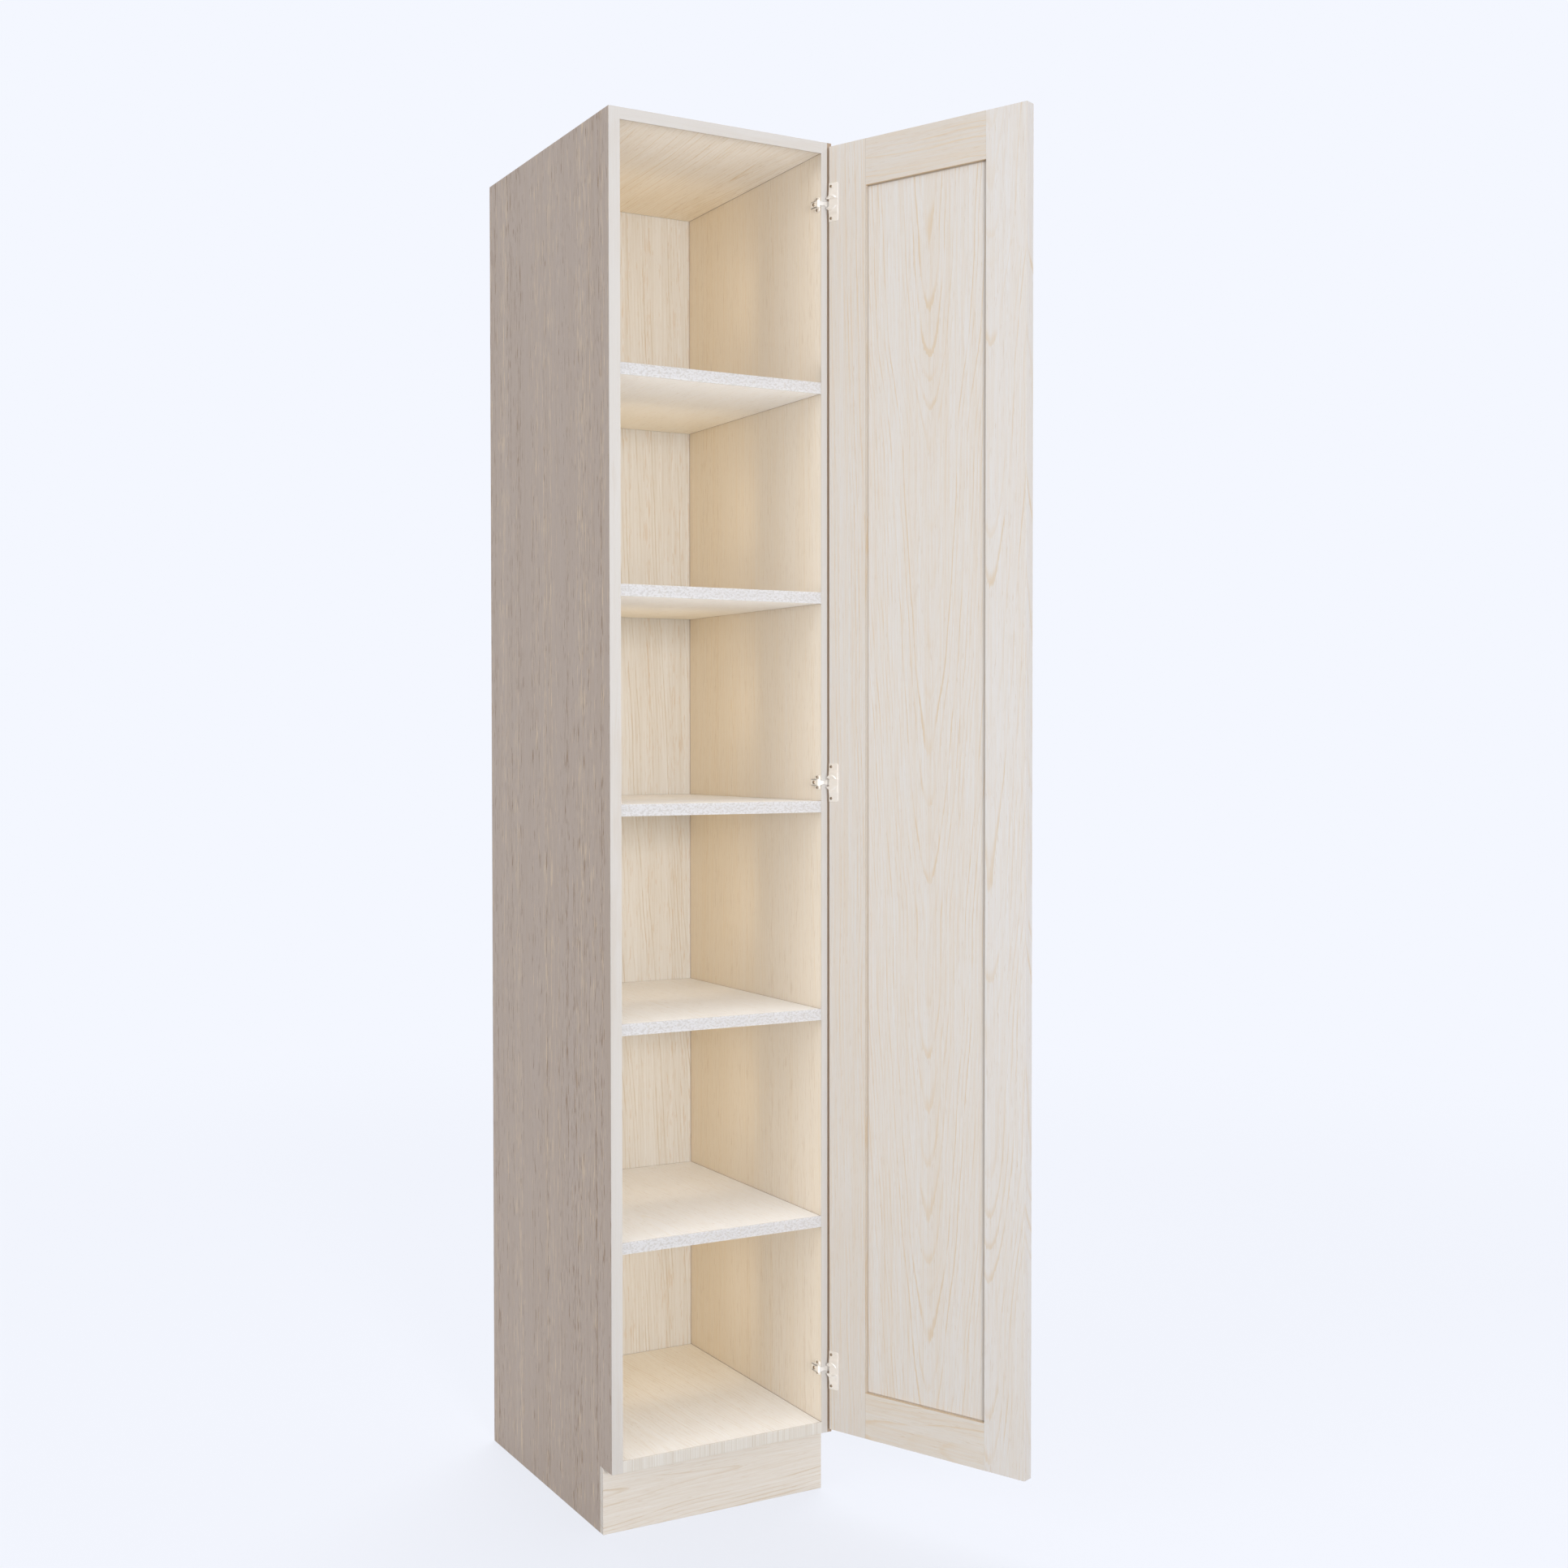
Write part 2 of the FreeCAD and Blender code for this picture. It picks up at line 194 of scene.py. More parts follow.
# Growth rings. late, end and early are shares of a ring's width: where its dark wood begins, where
# it ends and where the pores lie
ringLook = dict(late=(0.62, 0.90), end=(1.0, 0.93), early=(0.45, 0.05), ragged=0.30,
                broken=(0.38, 0.60, 0.25, 1.35), strong=1.05, faint=0.12)
spotLook = dict(pore=(0.60, 0.72), fleck=(0.584, 0.612), dash=(0.574, 0.61), worn=(0.42, 0.54))
dashLook = dict(along=18.0, across=330.0, share=0.72, laneAlong=0.4, laneAcross=34.0,
                laneShare=0.28)
toneLook = dict(broad=0.35, base=0.20, roughFibre=0.20, roughLate=0.06, highFibre=0.4,
                highLate=0.3, deepPore=0.9, relief=0.10 * mm, bump=0.30)

# Lines of noise along the grain: how fine along it and across it, detail and roughness
grainLines = {
    "wander": (1.3, 7.0, 2.0, 0.5),
    "ragged": (30.0, 480.0, 2.0, 0.6),
    "broken": (9.0, 45.0, 2.0, 0.55),
    "streak": (1.6, 150.0, 3.0, 0.6),
    "broad": (0.9, 22.0, 1.0, 0.5),
    "pores": (55.0, 1300.0, 1.0, 0.4),
    "rows": (0.5, 60.0, 1.0, 0.5),
    "spots": (24.0, 340.0, 2.0, 0.6),
}


def woodFinish(name, grain, look, middle, turned=False, shift=0.0, **changes):
    look = dict(woods[look], **{"seams": (), "dashes": 0.0, "dash": (0.74, 0.60, 0.44), **changes})
    kit = Finish(name)
    start, turn = -middle, (0, 0, 0)
    if turned:  # the door is drawn open, so its pattern is turned back to closed
        start, turn = pivot - toClosed @ pivot - middle, (0, 0, -openTurn)
    place = kit.node("Mapping", {"Vector": kit.node("TexCoord", out=3), "Location": start,
                                 "Rotation": turn})
    parts = kit.split(place)
    along, across, through = [parts["XYZ".index(axis)] for axis in grain]
    level = along + shift

    def lines(fineAlong, fineAcross, detail, roughness):
        return kit.noise(kit.vector(level * fineAlong, across * fineAcross, through * fineAcross),
                         detail, roughness)

    wander = lines(*grainLines["wander"])
    slow = kit.noise(kit.vector(level * 2.3, 3.7, shift), 2.0)
    side = across - look["heart"] + (wander - 0.5) * look["wander"]
    bow = through + look["bow"]  # how blunt the points of the rings are
    spread = (side * side + bow * bow) ** 0.5 + (slow - 0.5) * look["sway"]
    rings = (spread + along * look["lean"]) / look["ringGap"]
    ragged = lines(*grainLines["ragged"])
    rings = rings + (ragged - 0.5) * ringLook["ragged"]
    count = rings.maths("FLOOR", rings)
    phase = rings - count
    lot = kit.node("TexWhiteNoise", {"W": count * 0.731 + 5.3 + shift}, noise_dimensions="1D")
    lot = lot * lot * ringLook["strong"] + ringLook["faint"]  # a few are strong, most are faint
    broken = lines(*grainLines["broken"])
    late = kit.rise(phase, *ringLook["late"]) * kit.rise(phase, *ringLook["end"]) * lot
    late = late * kit.rise(broken, *ringLook["broken"])
    early = kit.rise(phase, *ringLook["early"])

    fibre = lines(9.0, look["fine"], 3.0, 0.6)
    streak = lines(*grainLines["streak"])
    broad = lines(*grainLines["broad"])
    pore = kit.rise(lines(*grainLines["pores"]), *spotLook["pore"]) * (early * 0.8 + 0.2)
    fleck = kit.rise(lines(*grainLines["spots"]) * 0.7 + lines(*grainLines["rows"]) * 0.3,
                     *spotLook["fleck"])

    tone = (late * look["ring"] + (fibre - 0.5) * look["fibre"] + (streak - 0.5) * look["streak"]
            + (broad - 0.5) * toneLook["broad"] + toneLook["base"]).held()
    colour = kit.mix(tone, (*look["pale"], 1), (*look["tan"], 1))
    colour = kit.mix((pore * look["pores"] + fleck * look["flecks"]).held(), colour,
                     (*look["pore"], 1))
    if "mottle" in look:  # patches where the edge band is worn paler
        patches = kit.noise(kit.vector(along * 1.0, across * 0.6, through * 1.0), 4.0, 0.7, 360.0)
        colour = kit.mix(kit.rise(patches, *spotLook["worn"]) * look["mottle"], colour,
                         (*look["worn"], 1))
    outer = colour
    if "deep" in look:  # painted shade: more golden inside, towards the back
        shadedBack = kit.mix(1.0, colour, (*look["deep"], 1), "MULTIPLY")
        inside = kit.rise(parts[1], *paintedBackShadeReach)
        if "above" in look:  # less so on the upper face
            inside = inside * kit.rise(parts[2], -skin, skin, 1.0, look["above"])
        colour = kit.mix(inside, colour, shadedBack)
    if "paintedShadeFace" in look:  # painted shade: one face of the board is darker
        axis, way, start, shadeTint = look["paintedShadeFace"]
        face = kit.rise(parts["XYZ".index(axis)] * way, start * mm, (start + faceStep) * mm)
        darker = kit.mix(1.0, outer, (*shadeTint, 1), "MULTIPLY")
        if look["dashes"]:
            fine, lane = dashLook["across"], dashLook["laneAcross"]
            dashes = kit.noise(kit.vector(level * dashLook["along"], across * fine + 7.0,
                                          through * fine), 2.0, 0.7)
            lanes = kit.noise(kit.vector(level * dashLook["laneAlong"], across * lane + 3.0, 1.7),
                              1.0, 0.5)
            dashed = kit.rise(dashes * dashLook["share"] + lanes * dashLook["laneShare"],
                              *spotLook["dash"])
            darker = kit.mix(dashed * look["dashes"], darker, (*look["dash"], 1))
        colour = kit.mix(face, colour, darker)
    for axis, way, reach, strength, wide in look["seams"]:  # dark lines where boards meet, and painted shade along the door panel's recess
        away = parts["XYZ".index(axis)] * way if way else parts["XYZ".index(axis)]
        if not way:
            away = away.maths("ABSOLUTE", away)
        line = kit.rise(away, (reach - wide) * mm, (reach - wide / 2) * mm)
        line = line * kit.rise(away, (reach + wide / 2) * mm, reach * mm)
        if axis == "Y" and "under" in look:  # only on the lower face
            line = line * kit.rise(parts[2], 0.0, -skin)
        colour = kit.mix(line * strength, colour, (*seamAndPaintedShade, 1))
    roughness = (look["rough"] + (fibre - 0.5) * toneLook["roughFibre"]
                 + late * toneLook["roughLate"])
    height = (fibre * toneLook["highFibre"] - pore * toneLook["deepPore"]
              + late * toneLook["highLate"])
    return kit.surface(colour, roughness, height, toneLook["relief"], toneLook["bump"])


# Boards: copies of the solids with their edges eased, each with its own grain
def mergedCopy(node, name):
    mesh = bmesh.new()
    mesh.from_mesh(frame["nodes"][node].data)
    bmesh.ops.remove_doubles(mesh, verts=mesh.verts, dist=mergeReach)
    bmesh.ops.dissolve_limit(mesh, angle_limit=flatTurn, verts=mesh.verts, edges=mesh.edges)
    return newPiece(mesh, name)


def newPiece(mesh, name):
    data = bpy.data.meshes.new(name)
    mesh.to_mesh(data)
    mesh.free()
    piece = bpy.data.objects.new(name, data)
    bpy.context.scene.collection.objects.link(piece)
    return piece


def closedPlace(point, turned):
    return toClosed @ (point - pivot) + pivot if turned else point.copy()


def openPlace(point, turned):
    return toOpen @ (point - pivot) + pivot if turned else point.copy()


def boxRound(places):  # the lowest and the highest corner
    return [Vector([pick(place[axis] for place in places) for axis in range(3)])
            for pick in (min, max)]


def closedBox(piece, turned):
    return boxRound([closedPlace(vert.co, turned) for vert in piece.data.vertices])


def addBevel(piece, method, width):
    bevel = piece.modifiers.new("eased", "BEVEL")
    bevel.limit_method = method
    bevel.width = width
    bevel.segments = 2
    return bevel


def settle(piece, body, slot, *nodes):  # what it moves with, its finish (not used) and what it stands for
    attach(piece, body)
    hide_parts(*nodes)


def easeEdges(piece, ease, joints, turned):  # joints: planes where a board meets its neighbour
    mesh = bmesh.new()
    mesh.from_mesh(piece.data)
    weight = mesh.edges.layers.float.new("bevel_weight_edge")
    for edge in mesh.edges:
        ends = [closedPlace(vert.co, turned) for vert in edge.verts]
        held = any(all(abs(end["xyz".index(axis)] - value) < jointReach for end in ends)
                   for axis, value in joints)
        sharp = len(edge.link_faces) == 2 and edge.calc_face_angle(0) > sharpTurn
        edge[weight] = 1.0 if sharp and not held else 0.0
    mesh.to_mesh(piece.data)
    mesh.free()
    addBevel(piece, "WEIGHT", ease)


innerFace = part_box("side_right")[0][0]
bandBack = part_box("side_right")[0][1]
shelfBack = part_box("shelf_1")[0][1]
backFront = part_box("back_panel")[0][1]
walls = [("x", -innerFace), ("x", innerFace)]
panelJoints = walls + [("y", bandBack), ("y", backFront)]
shelfJoints = walls + [("y", shelfBack), ("y", backFront)]
bandJoints = walls + [("y", bandBack), ("y", shelfBack)]

openWide, openTall = 112.0, 943.15  # half the opening that the door's panel fills, in mm


def boardSeams(start, end):  # of a board that lies between the sides, from and to a depth
    middle = (start + end) / 2
    return [("X", 0, innerFace / mm, 0.9, seamWide),
            ("Y", 1, (backFront - middle) / mm, 0.9, seamWide),
            ("Y", -1, (middle - start) / mm, 0.35, seamWide)]


# Node, piece, body, slot, grain, look, easing in mm, joints, turned, changes. The grain's letters
# are the axes along it, across it and through the board
boards = [
    ("side_left", "leftSide", "carcass", "panel_wood", "ZYX", "carcass", 0.5, [("y", bandBack)],
     False, dict(heart=-0.05, lean=-0.045, flecks=0.9, paintedShadeFace=("X", -1, 7, outerPaintedShade),
                 dashes=0.7, deep=wallPaintedBackShade)),
    ("side_right", "rightSide", "carcass", "panel_wood", "ZYX", "carcass", 0.5, [("y", bandBack)],
     False, dict(heart=0.06, lean=0.050, flecks=0.22, pale=(0.79, 0.727, 0.645),
                 paintedShadeFace=("X", 1, 7, outerPaintedShade), dashes=0.7, deep=wallPaintedBackShade)),
    ("top_panel", "topPanel", "carcass", "panel_wood", "YXZ", "carcass", 0.5, panelJoints, False,
     dict(heart=0.12, flecks=0.2, pale=(0.92, 0.88, 0.83), deep=shelfPaintedBackShade,
          seams=boardSeams(bandBack, 0.0), under=True)),
    ("bottom_panel", "bottomPanel", "carcass", "panel_wood", "YXZ", "carcass", 0.5, panelJoints,
     False, dict(heart=-0.09, flecks=0.1, pale=(0.93, 0.915, 0.895), tan=(0.80, 0.73, 0.64),
                 deep=shelfPaintedBackShade, above=0.7, seams=boardSeams(bandBack, backFront))),
    ("back_panel", "backPanel", "carcass", "back_wood", "ZXY", "carcass", 0.2, [], False,
     dict(heart=0.03, flecks=0.4, ring=0.9, streak=0.95, fibre=0.9, fine=360.0,
          pale=(0.62, 0.595, 0.56), tan=(0.505, 0.435, 0.345),
          seams=[("X", 0, innerFace / mm, 0.9, seamWide)])),
    ("toe_board", "toeBoard", "carcass", "toe_wood", "XZY", "door", 0.4, [], False,
     dict(heart=0.01, pale=(0.83, 0.79, 0.74), tan=(0.69, 0.59, 0.475), ring=0.9, fibre=0.9)),
    ("door_stile_hinge", "hingeStile", "door", "door_wood", "ZXY", "door", 0.4, [], True,
     dict(heart=0.09, lean=0.02, pale=(0.76, 0.74, 0.723), streak=1.1, fibre=1.0,
          paintedShadeFace=("X", -1, 35, innerEdgePaintedShade))),
    ("door_stile_free", "freeStile", "door", "door_wood", "ZXY", "door", 0.4, [], True,
     dict(heart=0.026, lean=-0.07, bow=0.02, ring=0.5, pale=(0.797, 0.79, 0.792),
          paintedShadeFace=("X", -1, 35, freeEdgePaintedShade))),
    ("door_rail_bottom", "lowerDoorRail", "door", "door_wood", "XZY", "door", 0.4, [], True,
     dict(heart=-0.02, bow=0.03, lean=0.09, pale=(0.775, 0.735, 0.685), ring=0.9,
          fibre=0.9, streak=1.0, paintedShadeFace=("Z", 1, 35, lipPaintedShade))),
    ("door_rail_top", "upperDoorRail", "door", "door_wood", "XZY", "door", 0.4, [], True,
     dict(heart=0.05, lean=0.03, pale=(0.735, 0.692, 0.645), ring=1.1, fibre=1.1, streak=1.1,
          paintedShadeFace=("Z", -1, 35, lipPaintedShade))),
    ("door_panel", "doorPanel", "door", "door_wood", "ZXY", "door", 0.1, [], True,
     dict(heart=-0.005, lean=-0.075, bow=0.024, ring=1.0, fibre=1.1, streak=0.9,
          pale=(0.785, 0.767, 0.752),
          # painted shade along the panel's recess: thin lines, and a soft band beside the free
          # stile
          seams=[("X", 0, openWide, 0.45, seamWide), ("Z", 0, openTall, 0.7, seamWide),
                 ("X", -1, openWide, 0.35, 8.0)])),
]
shelfLook = dict(flecks=0.1, pale=(0.94, 0.93, 0.925), tan=(0.89, 0.85, 0.79), deep=shelfPaintedBackShade,
                 above=0.0, seams=boardSeams(shelfBack, backFront))
shelfBandLook = dict(pale=(0.60, 0.595, 0.605), mottle=0.9, worn=(0.73, 0.73, 0.755))
for number in range(1, shelves + 1):
    boards.append((f"shelf_{number}", f"shelf{number}", "carcass", "panel_wood", "YXZ", "carcass",
                   0.4, shelfJoints, False, dict(shelfLook, heart=-0.12 + 0.05 * number)))
    boards.append((f"shelf_band_{number}", f"shelfBand{number}", "carcass", "band_wood", "ZXY",
                   "band", 0.3, bandJoints, False, shelfBandLook))
frontBands = {  # grain and changes of the bands round the opening
    "left": ("ZXY", {}),
    "top": ("XZY", {}),
    "right": ("ZXY", dict(paintedShadeFace=("X", 1, 1, hingeGapPaintedShadow))),
    # painted light: the bottom band is paler to make up for the dimmer light low down
    "bottom": ("ZXY", dict(pale=(0.78, 0.755, 0.715), tan=(0.60, 0.53, 0.44), streak=1.3,
                           heart=0.9, ring=0.6)),
}
for name, (grain, changes) in frontBands.items():
    boards.append((f"band_{name}", name + "Band", "carcass", "band_wood", grain, "band", 0.3,
                   bandJoints, False, changes))
for name in ("bottom", "middle", "top"):
    boards.append((f"rail_{name}", name + "Rail", "carcass", "rail_wood", "XZY", "birch", 0.3,
                   walls, False, {}))
for name in ("left", "right"):
    boards.append((f"toe_block_{name}", name + "ToeBlock", "carcass", "toe_wood", "ZXY", "birch",
                   0.3, [], False, {}))

patternStep, patternSpan = 0.37, 2.9  # metres that each board's pattern is moved along
for order, board in enumerate(boards):
    node, name, body, slot, grain, look, ease, joints, turned, changes = board
    piece = mergedCopy(node, name)
    low, high = closedBox(piece, turned)
    easeEdges(piece, ease * mm, joints, turned)
    finish = woodFinish(name + "Wood", grain, look, (low + high) / 2, turned,
                        shift=patternStep * order % patternSpan, **changes)
    piece.data.materials.append(finish)
    settle(piece, body, slot, node)
print("boards made:", len(boards))


metals = {
    "satinNickel": dict(colour=(0.97, 0.945, 0.91), rough=0.36, metallic=0.55),
    "pinSteel": dict(colour=(0.62, 0.61, 0.60), rough=0.35, metallic=1.0),
    "screwMetal": dict(colour=(0.36, 0.29, 0.22), rough=0.42, metallic=1.0),
}
metalGrain = dict(fine=900.0, broad=90.0, stain=0.35, darker=0.86, fineRough=0.12, broadRough=0.1,
                  relief=0.02 * mm, bump=0.25)


def metalFinish(name, colour, rough, metallic):
    grain = metalGrain
    kit = Finish(name)
    place = kit.node("TexCoord", out=3)
    fine = kit.noise(place, 3.0, 0.6, grain["fine"])
    broad = kit.noise(place, 2.0, 0.5, grain["broad"])
    stained = [value * grain["darker"] for value in colour]
    shade = kit.mix(broad * grain["stain"], (*colour, 1), (*stained, 1))
    roughness = rough + (fine - 0.5) * grain["fineRough"] + (broad - 0.5) * grain["broadRough"]
    return kit.surface(shade, roughness, fine, grain["relief"], grain["bump"], Metallic=metallic)


nickel, pinSteel, screwMetal = [metalFinish(name, **look) for name, look in metals.items()]
beech = woodFinish("beechDowels", "XYZ", "birch", Vector((0, 0, 0)))


def coverNode(node, material):
    data = frame["nodes"][node].data
    data.materials.clear()
    data.materials.append(material)


# Parts of the hinges, drawn with the door closed. Their sizes are in mm; x runs across, y back
# and z up
def smoothed(value, low, high):  # 0 below low, 1 above high
    share = min(max((value - low) / (high - low), 0.0), 1.0)
    return share * share * (3 - 2 * share)


def addShell(mesh, first, last):  # two matching outlines, joined by a wall
    for outline in (first, last):
        mesh.faces.new(outline)
    for here, after in zip(range(len(first)), [*range(1, len(first)), 0]):
        mesh.faces.new((first[here], first[after], last[after], last[here]))


def addSheet(mesh, outline, place, thick):  # an outline in the flat, given a thickness
    addShell(mesh, [mesh.verts.new(place(first, second, 0)) for first, second in outline],
             [mesh.verts.new(place(first, second, thick)) for first, second in outline])


def addKnuckle(mesh, radius, low, high, chamfer, sides=32):  # a chamfered rod round the pin
    rings = []
    for level, size in ((low, radius - chamfer), (low + chamfer, radius),
                        (high - chamfer, radius), (high, radius - chamfer)):
        turns = [2 * math.pi * step / sides for step in range(sides)]
        rings.append([mesh.verts.new((pivot.x + size * math.cos(turn),
                                      pivot.y + size * math.sin(turn), level)) for turn in turns])
    for lower, upper in zip(rings, rings[1:]):
        for step in range(sides):
            after = (step + 1) % sides
            mesh.faces.new((lower[step], lower[after], upper[after], upper[step]))
    mesh.faces.new(rings[0])
    mesh.faces.new(rings[-1])


bendSteps = 6


def roundedBends(corners, radius):  # a path in the flat with its corners rounded
    path = [Vector(corners[0])]
    for before, corner, after in zip(corners, corners[1:], corners[2:]):
        corner = Vector(corner)
        start = corner + (Vector(before) - corner).normalized() * radius
        end = corner + (Vector(after) - corner).normalized() * radius
        for step in range(bendSteps + 1):
            share = step / bendSteps
            path.append(start * (1 - share) ** 2 + corner * 2 * share * (1 - share)
                        + end * share ** 2)
    return path + [Vector(corners[-1])]


def addStrip(mesh, path, level, half, thick):  # a bent sheet; half gives its height on the path
    spots = []
    for place, (before, after) in enumerate(zip([path[0], *path], [*path[1:], path[-1]])):
        run = (after - before).normalized()
        side = Vector((-run.y, run.x)) * thick / 2
        tall = half(path[place])
        spots.append([mesh.verts.new((*(path[place] + side * way), level + tall * up))
                      for way, up in ((-1, -1), (1, -1), (1, 1), (-1, 1))])
    for first, last in zip(spots, spots[1:]):
        for here, after in ((0, 1), (1, 2), (2, 3), (3, 0)):
            mesh.faces.new((first[here], first[after], last[after], last[here]))
    mesh.faces.new(spots[0])
    mesh.faces.new(spots[-1])


def metalPiece(mesh, name, turned, ease, smoothTurn=40):
    bmesh.ops.recalc_face_normals(mesh, faces=mesh.faces)
    for vert in mesh.verts:
        vert.co = openPlace(vert.co, turned)
    piece = newPiece(mesh, name)
    piece.data.shade_smooth()
    piece.data.set_sharp_from_angle(angle=math.radians(smoothTurn))
    if ease:
        addBevel(piece, "ANGLE", ease * mm).angle_limit = math.radians(smoothTurn)
    return piece


# Plate on the door: a strip stamped up into a round boss, split where the arm lies when closed,
# with ears past the door's edge that carry the knuckles
plateLook = dict(wide=17.7, half=30.2, thick=1.0, corner=2.5, ramp=(20.6, 14.0), rampRise=0.9,
                 bossIn=4.3, boss=12.4, bossSlope=1.4, bossRise=0.7, channel=5.6, ear=5.2,
                 earSlope=1.2, earFall=2.5, slit=(6.7, 8.7), slitDeep=1.5, slitFrom=(5.6, 6.0),
                 step=0.5, rim=0.25, rimFall=0.2, wall=0.07, lap=0.01, webSink=0.1)
knuckleLook = dict(radius=2.7, low=5.6, high=11.3, web=1.4, chamfer=0.3)


def plateHeight(across, up, side):
    look = plateLook
    if abs(up) < look["channel"]:
        return look["thick"]
    first, last = look["ramp"]
    raised = look["rampRise"] * (1 - smoothed(abs(up), last, first))
    away = math.hypot(across - look["bossIn"], up)
    slope = smoothed(away, look["boss"] - look["bossSlope"], look["boss"])
    raised += look["bossRise"] * (1 - slope)
    low, high = look["slit"]
    slit = smoothed(away, low - look["rim"], low) * (1 - smoothed(away, high, high + look["rim"]))
    raised -= look["slitDeep"] * slit * smoothed(up * side, *look["slitFrom"])
    if across < 0:  # the ears thin out, to clear the carcass
        raised *= smoothed(across, -look["earFall"], 0.0)
    return look["thick"] + raised


def plateEnds(up):  # where the plate starts and ends at a height
    look = plateLook
    near = 0.0
    if look["channel"] < abs(up) < look["boss"]:
        past = math.sqrt(look["boss"] ** 2 - up * up) - look["bossIn"]
        near = -min(look["ear"], max(past, 0.0))
        near *= smoothed(abs(up), look["channel"], look["channel"] + look["earSlope"])
    inset = max(look["corner"] - (look["half"] - abs(up)), 0.0)
    return near, look["wide"] - look["corner"] + math.sqrt(look["corner"] ** 2 - inset ** 2)


def hingePlate(name, level, side):
    look, mesh = plateLook, bmesh.new()
    half = look["half"]
    count = round(half / look["step"])
    rows = [half * step / count for step in range(-count, count + 1)]
    rows += [way * (look["channel"] + place) for way in (-1, 1)
             for place in (-look["lap"], look["wall"])]  # the steep wall of the channel
    rows += [way * (half - look["rim"]) for way in (-1, 1)]
    rows.sort()
    columns = round((look["wide"] + look["ear"]) / look["step"])
    grid = []
    for up in rows:
        near, far = plateEnds(up)
        rim = look["rim"]
        places = [near] + [near + rim + (far - near - 2 * rim) * column / columns
                           for column in range(columns + 1)] + [far]
        line = []
        for across in places:
            raised = plateHeight(across, up, side)
            if across in (near, far) or abs(up) == half:
                raised -= look["rimFall"]
            line.append(mesh.verts.new((doorEdge - across * mm, doorFace + raised * mm,
                                        level + up * mm)))
        grid.append(line)
    for lower, upper in zip(grid, grid[1:]):
        for column in range(len(lower) - 1):
            mesh.faces.new((lower[column], lower[column + 1], upper[column + 1], upper[column]))
    skirt = bmesh.ops.extrude_edge_only(mesh, edges=[edge for edge in mesh.edges
                                                     if edge.is_boundary])["geom"]
    for item in skirt:
        if isinstance(item, bmesh.types.BMVert):
            item.co.y = doorFace
    bmesh.ops.contextual_create(mesh, geom=[item for item in skirt if
                                            isinstance(item, bmesh.types.BMEdge)
                                            and item.is_boundary])
    look = knuckleLook
    left = pivot.x - look["radius"] * mm
    right = left + look["web"] * mm
    top = doorFace + (plateLook["thick"] - plateLook["webSink"]) * mm
    for way in (-1, 1):
        low, high = sorted(level + way * look[end] * mm for end in ("low", "high"))
        addKnuckle(mesh, look["radius"] * mm, low, high, look["chamfer"] * mm)
        addSheet(mesh, [(left, pivot.y), (right, pivot.y), (right, top), (left, top)],
                 lambda x, y, z: (x, y, low + z), high - low)
    return metalPiece(mesh, name, True, 0, smoothTurn=38)


# Arm: an eye round the pin, a leg, a waisted strip across the front edge and a channel inside
armLook = dict(half=5.25, sheet=1.4, clear=0.3, bend=2.2, strip=4.7, waist=2.7,
               waistAt=(168.5, 181.5), waistPower=0.8, waistSteps=20, lap=0.1, flange=1.2,
               front=2.0, slope=1.5, ease=0.25)


def hingeArm(name, level):
    look, mesh = armLook, bmesh.new()
    thick, half = look["sheet"] * mm, look["half"] * mm
    left, right = armLeft + thick / 2, pivot.x + knuckleLook["radius"] * mm - thick / 2
    ahead = carcassFront - look["clear"] * mm - thick / 2
    addKnuckle(mesh, knuckleLook["radius"] * mm, level - half, level + half,
               knuckleLook["chamfer"] * mm)
    bends = roundedBends([(right, pivot.y), (right, ahead), (left, ahead), (left, armBack)],
                         look["bend"] * mm)
    start, end = [place * mm for place in look["waistAt"]]
    steps = look["waistSteps"]
    leg = bendSteps + 2  # points of the leg and its bend
    path = bends[:leg]
    path += [Vector((end + (start - end) * step / steps, ahead)) for step in range(steps + 1)]
    path += bends[leg:]

    def tall(place):
        if place.y > ahead + look["lap"] * mm and place.x < start:
            return half  # the channel inside
        narrow = math.sin(math.pi * min(max((place.x - start) / (end - start), 0.0), 1.0))
        narrow = narrow ** look["waistPower"]
        return (look["strip"] - (look["strip"] - look["waist"]) * narrow) * mm

    addStrip(mesh, path, level, tall, thick)
    begin, base = carcassFront + look["front"] * mm, mountLeft
    for low in (level - half, level + half - look["flange"] * mm):
        addSheet(mesh, [(armLeft, begin + look["slope"] * mm), (base, begin), (base, armBack),
                        (armLeft, armBack)], lambda x, y, z: (x, y, low + z), look["flange"] * mm)
    return metalPiece(mesh, name, False, look["ease"])


# Mounting plate: a bar with two rounded wings on the side panel, and a rib that fills the arm
mountLook = dict(base=2.0, bar=(2.0, 21.0), barHalf=5.25, wing=(3.5, 17.5), wingHalf=11.5,
                 corner=4.0, rib=(3.0, 20.0), ribHalf=3.9, ease=0.3)


